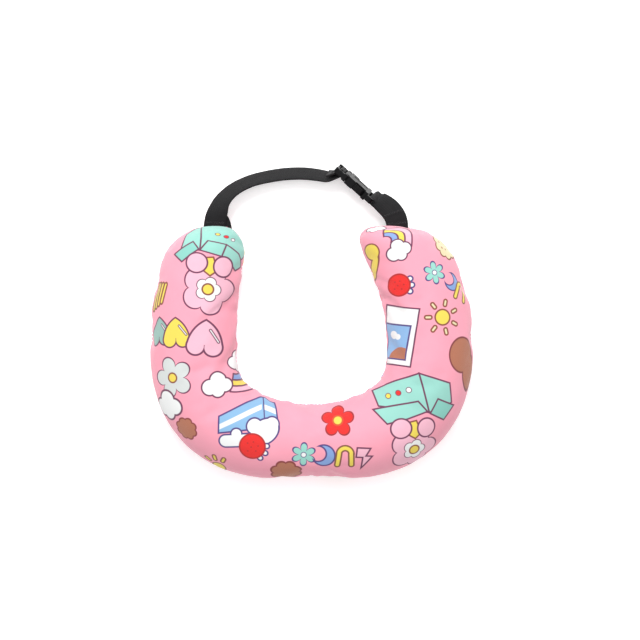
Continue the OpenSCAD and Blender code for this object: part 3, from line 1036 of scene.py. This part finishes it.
def seam_path(grid, stations):
    """The seam's line on the sewn cover, through stations given as (ring position, column)."""
    columns = {0: grid[:, 0], 1: grid[:, HALF_POINTS]}
    return np.array([on_path(columns[inner], STATIONS, s) for s, inner in stations])


def stitches_along(path, slant):
    """Short stitches over a path, each leaning across the seam by slant."""
    runs = path_length(path)
    found = []
    count = int(runs[-1] / STITCH_PITCH)
    for k in range(count):
        start = k * STITCH_PITCH
        where = start + np.array([0, 0.2, 0.5, 0.8, 1]) * STITCH
        line = on_path(path, runs, where)
        out = unit(np.cross(line[-1] - line[0], (0.0, 0.0, 1.0)))
        line = line + out * np.array([-0.35, 0.1, 0.25, 0.1, -0.35])[:, None]
        line[:, 2] += np.linspace(-slant, slant, 5)
        found.append(line)
    return found


def make_seams(grid):
    """Machine stitches all round, and hand stitches that close the filling hole."""
    inner_left = [(s, 1) for s in STATIONS[::-1] if s <= CLOSE_FROM]
    outer = [(s, 0) for s in STATIONS]
    inner_right = [(s, 1) for s in STATIONS[::-1] if s >= CLOSE_TO]
    pink = thread_material("pink_thread", (236, 128, 158))
    route = seam_path(grid, inner_left + outer + inner_right)
    seam = thread_piece("seam_stitches", stitches_along(route, 0.12), THREAD_R, pink)
    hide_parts("seam_thread")
    closing = seam_path(grid, [(s, 1) for s in STATIONS[::-1] if CLOSE_FROM <= s <= CLOSE_TO])
    hand = thread_piece("closing_stitches", stitches_along(closing, 1.1), THREAD_R * 1.2, pink)
    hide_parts("closing_stitch")
    for piece in (seam, hand):
        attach(piece, "pillow")


def make_pillow():
    grid = sewn_skin()
    materials, ring_zone = print_zones()
    make_panel("cover_upper_panel", "cover_top", True, grid, materials, ring_zone)
    make_panel("cover_lower_panel", "cover_bottom", False, grid, materials, ring_zone)
    make_filling()
    make_seams(grid)


# ---- Buckle's own frame: x from the plug to the socket, z is the plate's outer face ----

WEB_W, WEB_T = 20, 1.4
BUCKLE_W, BUCKLE_T = 26, 8
LEAN, HEADING = math.radians(77), math.radians(-42.7)
MOUTH = np.array([33.7, 130.1, BUCKLE_W / 2 * math.sin(LEAN) + BUCKLE_T / 2 * math.cos(LEAN) + 0.5])
LONG = np.array([math.cos(HEADING), math.sin(HEADING), 0])
PLATE = np.array([-math.sin(HEADING) * math.sin(LEAN), math.cos(HEADING) * math.sin(LEAN),
                  math.cos(LEAN)])
BUCKLE_AZ = math.degrees(HEADING) - 90
LEAN_DEG = math.degrees(LEAN)


def on_plane(x, z):
    return MOUTH + x * LONG + z * PLATE


# ---- Webbing: rows of x, y, z, azimuth and rise, the last two aim its width ----

def row(place, azimuth, rise):
    return [*place, azimuth, rise]


def held(x, z):
    """Row whose width lies along the buckle's bars."""
    return row(on_plane(x, z), BUCKLE_AZ, LEAN_DEG)


LONG_ROWS = [
    [-88.5, 78, 31, 0, 0],
    [-88.5, 84, 31, 0, 0],
    [-87.2, 92, 30.5, -8, 4],
    [-85, 100, 28, -17, 24],
    [-80.3, 110, 22, -38, 42],
    [-70.5, 119.6, 16, -57, 50],
    [-56, 127, 12, -67, 53],
    [-40, 131.2, 9.6, -77, 53],
    [-24, 133.6, 9.2, -84, 53],
    [-8, 134.1, 9, -91, 53],
    [5, 132.8, 9.4, -98, 54],
    [15.5, 131, 10.8, -106, 57],
    row(on_plane(-8.4, -5.8), -121, 68),
    held(-5.6, -1.8),
    held(-5.6, 0.6),
    held(-6.4, 2.2),
    held(-8, 2.8),
    held(-9.6, 2.2),
    held(-10.4, 0.6),
    held(-10.4, -1.4),
    row(on_plane(-11.6, -3.8), -130, 76),
    row(on_plane(-14, -7.2), -122, 72),
    row(on_plane(-16.6, -10.2), -116, 68)]

BAR_X, TURN_R, LOOP_OUT = 29.5, 2.4, 3.9
LOOP_SLACK = 3.2              # how much looser the loop is on the plate's outer side
LAYER = WEB_T / 2 + 0.15
SHORT_MID = [
    [78, 77, 31, 180, 0],
    [78, 82, 31, 182, 0],
    [77.8, 88, 29.8, 188, 2],
    [75.5, 95, 27.5, 199, 5],
    [70, 102.4, 22.5, 211, 14],
    [62.2, 109, 17.3, 223, 36]]


def row_at(rows, u):
    """Smooth curve through the rows, u counts rows."""
    last = len(rows) - 1
    i = int(min(last - 1, max(0, math.floor(u))))
    t = u - i
    a, b, c, d = (np.array(rows[k]) for k in (max(0, i - 1), i, i + 1, min(last, i + 2)))
    return 0.5 * (2 * b + (c - a) * t + (2 * a - 5 * b + 4 * c - d) * t ** 2
                  + (3 * b - a - 3 * c + d) * t ** 3)


def width_dir(r):
    az, rise = math.radians(r[3]), math.radians(r[4])
    return np.array([math.cos(rise) * math.cos(az), math.cos(rise) * math.sin(az), math.sin(rise)])


def face_dir(rows, u):
    last = len(rows) - 1
    path = row_at(rows, min(last, u + 0.05))[:3] - row_at(rows, max(0, u - 0.05))[:3]
    return unit(np.cross(width_dir(row_at(rows, u)), path))


def short_rows():
    """Out of the pillow in one layer, round the socket's bar, and back in the other layer."""
    layers = [[row(np.array(r[:3]) + lift * face_dir(SHORT_MID, i), r[3], r[4])
               for i, r in enumerate(SHORT_MID)] for lift in (-LAYER, LAYER)]
    turn = []
    for degrees in range(60, 301, 40):
        slack = max(0, math.sin(math.radians(degrees + 20))) ** 1.5
        place = on_plane(*ray(degrees, TURN_R + LOOP_SLACK * slack, BAR_X))
        turn.append(row(place, BUCKLE_AZ + 360, LEAN_DEG - 20 * slack))
    before = [row(on_plane(BAR_X + LOOP_OUT + 1.1, 5.2), BUCKLE_AZ + 357, LEAN_DEG - 30)]
    after = [row(on_plane(BAR_X + LOOP_OUT, -0.3), BUCKLE_AZ + 357, LEAN_DEG - 15)]
    return layers[0] + before + turn + after + layers[1][::-1]


SHORT_ROWS = short_rows()
EDGE = 0.8                    # the webbing thins to its edge over this width


def ribbon_section():
    """The webbing's cross-section as (across, off) in millimetres, with thinner edges."""
    half, t = WEB_W / 2, WEB_T / 2
    inner = [-half + EDGE, -half / 3, half / 3, half - EDGE]
    low = [(-half, -0.4 * t)] + [(x, -t) for x in inner] + [(half, -0.4 * t)]
    high = [(half, 0.4 * t)] + [(x, t) for x in inner[::-1]] + [(-half, 0.4 * t)]
    return low + high


def ribbon(name, rows, u0, u1, steps, material):
    """Strip of webbing that follows the rows from u0 to u1, with its weave's place in a UV map."""
    section = ribbon_section()
    places = [u0 + (u1 - u0) * k / steps for k in range(steps + 1)]
    runs = path_length([row_at(rows, u)[:3] for u in places])
    points, uv = [], []
    for u, run in zip(places, runs):
        r = row_at(rows, u)
        w, f = width_dir(r), face_dir(rows, u)
        for x, off in section:
            points.append(r[:3] + w * x + f * off)
            uv.append((x * MM, run * MM))
    piece = new_piece(name, np.array(points) * MM, capped_tube(steps + 1, len(section)), [material])
    map_points(piece.data, "weave", uv)
    outward(piece.data)
    return piece


def webbing_material():
    """Black webbing: ribs along it, crossed by a fine zigzag, with painted shade in the weave's hollows and
    a painted highlight on its raised yarns.
    """
    paint = Paint("black_webbing")
    place = paint.vector("MULTIPLY", paint.uv("weave"), (1000, 1000, 0))
    x, y, _ = paint.split(place)
    rib = paint.math("ABSOLUTE", paint.wave(x, 2.2))
    slant = paint.math("PINGPONG", x, 1.1)
    pick = paint.math("ABSOLUTE", paint.wave(paint.scaled(slant, 0.7, y), 1.7))
    weave = paint.math("MULTIPLY", paint.scaled(rib, 0.6, 0.4), pick)
    edge = paint.math("GREATER_THAN", paint.math("ABSOLUTE", x), WEB_W / 2 - 1.1)
    wear = paint.noise(place, 0.12, 4)
    # painted shade and highlight: the weave's hollows are coloured dark and its raised yarns lighter,
    # following the bump's own height
    tone = paint.mix(weave, dye((8, 8, 9)), dye((40, 39, 41)))
    tone = paint.mix(paint.scaled(wear, 0.3), tone, dye((50, 49, 51)))
    tone = paint.mix(paint.scaled(edge, 0.5), tone, dye((26, 25, 27)))
    normal = paint.bump(weave, 0.0004, 0.8)
    paint.shade(tone, 0.7, normal, Sheen_Weight=0.03, Sheen_Roughness=0.4, Specular_IOR_Level=0.16)
    return paint.material


def bar_tack(name, node, body, rows, u, side, material):
    """Zigzag of thread sewn across the webbing."""
    r = row_at(rows, u)
    w, f = width_dir(r), face_dir(rows, u)
    path = np.cross(w, f)
    half, turns, reach = 8.0, 26, 1.1
    points = []
    for k in range(turns + 1):
        x = -half + 2 * half * k / turns
        sway = reach if k % 2 else -reach
        points.append(r[:3] + w * x + path * sway + f * side * (WEB_T / 2 + 0.22))
    piece = thread_piece(name, [points], 0.26, material)
    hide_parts(node)
    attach(piece, body)


def make_straps():
    webbing = webbing_material()
    last = len(LONG_ROWS) - 1
    strap = ribbon("long_strap", LONG_ROWS, 0, last, last * 10, webbing)
    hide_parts("strap_long")
    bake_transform(strap)
    fold_rows = [[x + shift, y, z - 1.6, az - 4, rise]
                 for (x, y, z, az, rise), shift in zip(LONG_ROWS, (6.6, 5.8, 3.2, -1.5))]
    fold = ribbon("long_strap_folded_end", fold_rows, 0.2, 2.7, 24, webbing)
    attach(fold, "pillow")
    short_last = len(SHORT_ROWS) - 1
    short = ribbon("short_strap", SHORT_ROWS, 0, short_last, short_last * 10, webbing)
    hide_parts("strap_short")
    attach(short, "pillow")
    thread = thread_material("black_thread", (34, 33, 36))
    bar_tack("left_bar_tack", "tack_left", "pillow", LONG_ROWS, 1.5, 1, thread)
    bar_tack("right_bar_tack", "tack_right", "pillow", SHORT_ROWS, 1.83, -1, thread)
    bar_tack("loop_bar_tack", "tack_loop", "pillow", SHORT_ROWS, 3.17, -1, thread)
    bar_tack("tail_bar_tack", "tack_tail", "plug", LONG_ROWS, last - 0.83, -1, thread)


# ---- Buckle ----

def plastic_material():
    """Moulded black plastic with a fine spark-eroded grain and rubbed patches."""
    paint = Paint("buckle_plastic")
    place = paint.coordinates("Object")
    grain = paint.noise(place, 2600, 3)
    rubbed = paint.noise(place, 160, 3)
    colour = paint.mix(rubbed, dye((10, 10, 11)), dye((24, 24, 26)))
    roughness = paint.scaled(rubbed, 0.2, 0.28)
    paint.shade(colour, roughness, paint.bump(grain, 0.00006, 0.5), Specular_IOR_Level=0.1)
    return paint.material


def bevelled(name, node, bevel, material):
    """Copy of a CAD node with its edges rounded off."""
    bm = bmesh.new()
    bm.from_mesh(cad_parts[node].data)
    bmesh.ops.remove_doubles(bm, verts=bm.verts, dist=0.00001)
    bmesh.ops.dissolve_limit(bm, angle_limit=math.radians(1), verts=bm.verts, edges=bm.edges)
    sharp = [e for e in bm.edges if len(e.link_faces) == 2 and e.calc_face_angle(0) > math.radians(30)]
    bmesh.ops.bevel(bm, geom=sharp, offset=bevel * MM, segments=2, affect="EDGES", clamp_overlap=True)
    bmesh.ops.triangulate(bm, faces=[f for f in bm.faces if len(f.verts) > 4])
    mesh = bpy.data.meshes.new(name)
    bm.to_mesh(mesh)
    bm.free()
    mesh.materials.append(material)
    mesh.polygons.foreach_set("use_smooth", [False] * len(mesh.polygons))
    piece = bpy.data.objects.new(name, mesh)
    link(piece)
    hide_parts(node)
    return piece


def make_buckle():
    plastic = plastic_material()
    for name, node, body, bevel in (("buckle_socket", "socket", "pillow", 0.35),
                                    ("buckle_plug", "plug", "plug", 0.3),
                                    ("upper_latch_arm", "latch_upper", "latch_upper", 0.3),
                                    ("lower_latch_arm", "latch_lower", "latch_lower", 0.3)):
        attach(bevelled(name, node, bevel, plastic), body)


make_camera()
make_lights()
make_floor()
make_pillow()
make_straps()
make_buckle()
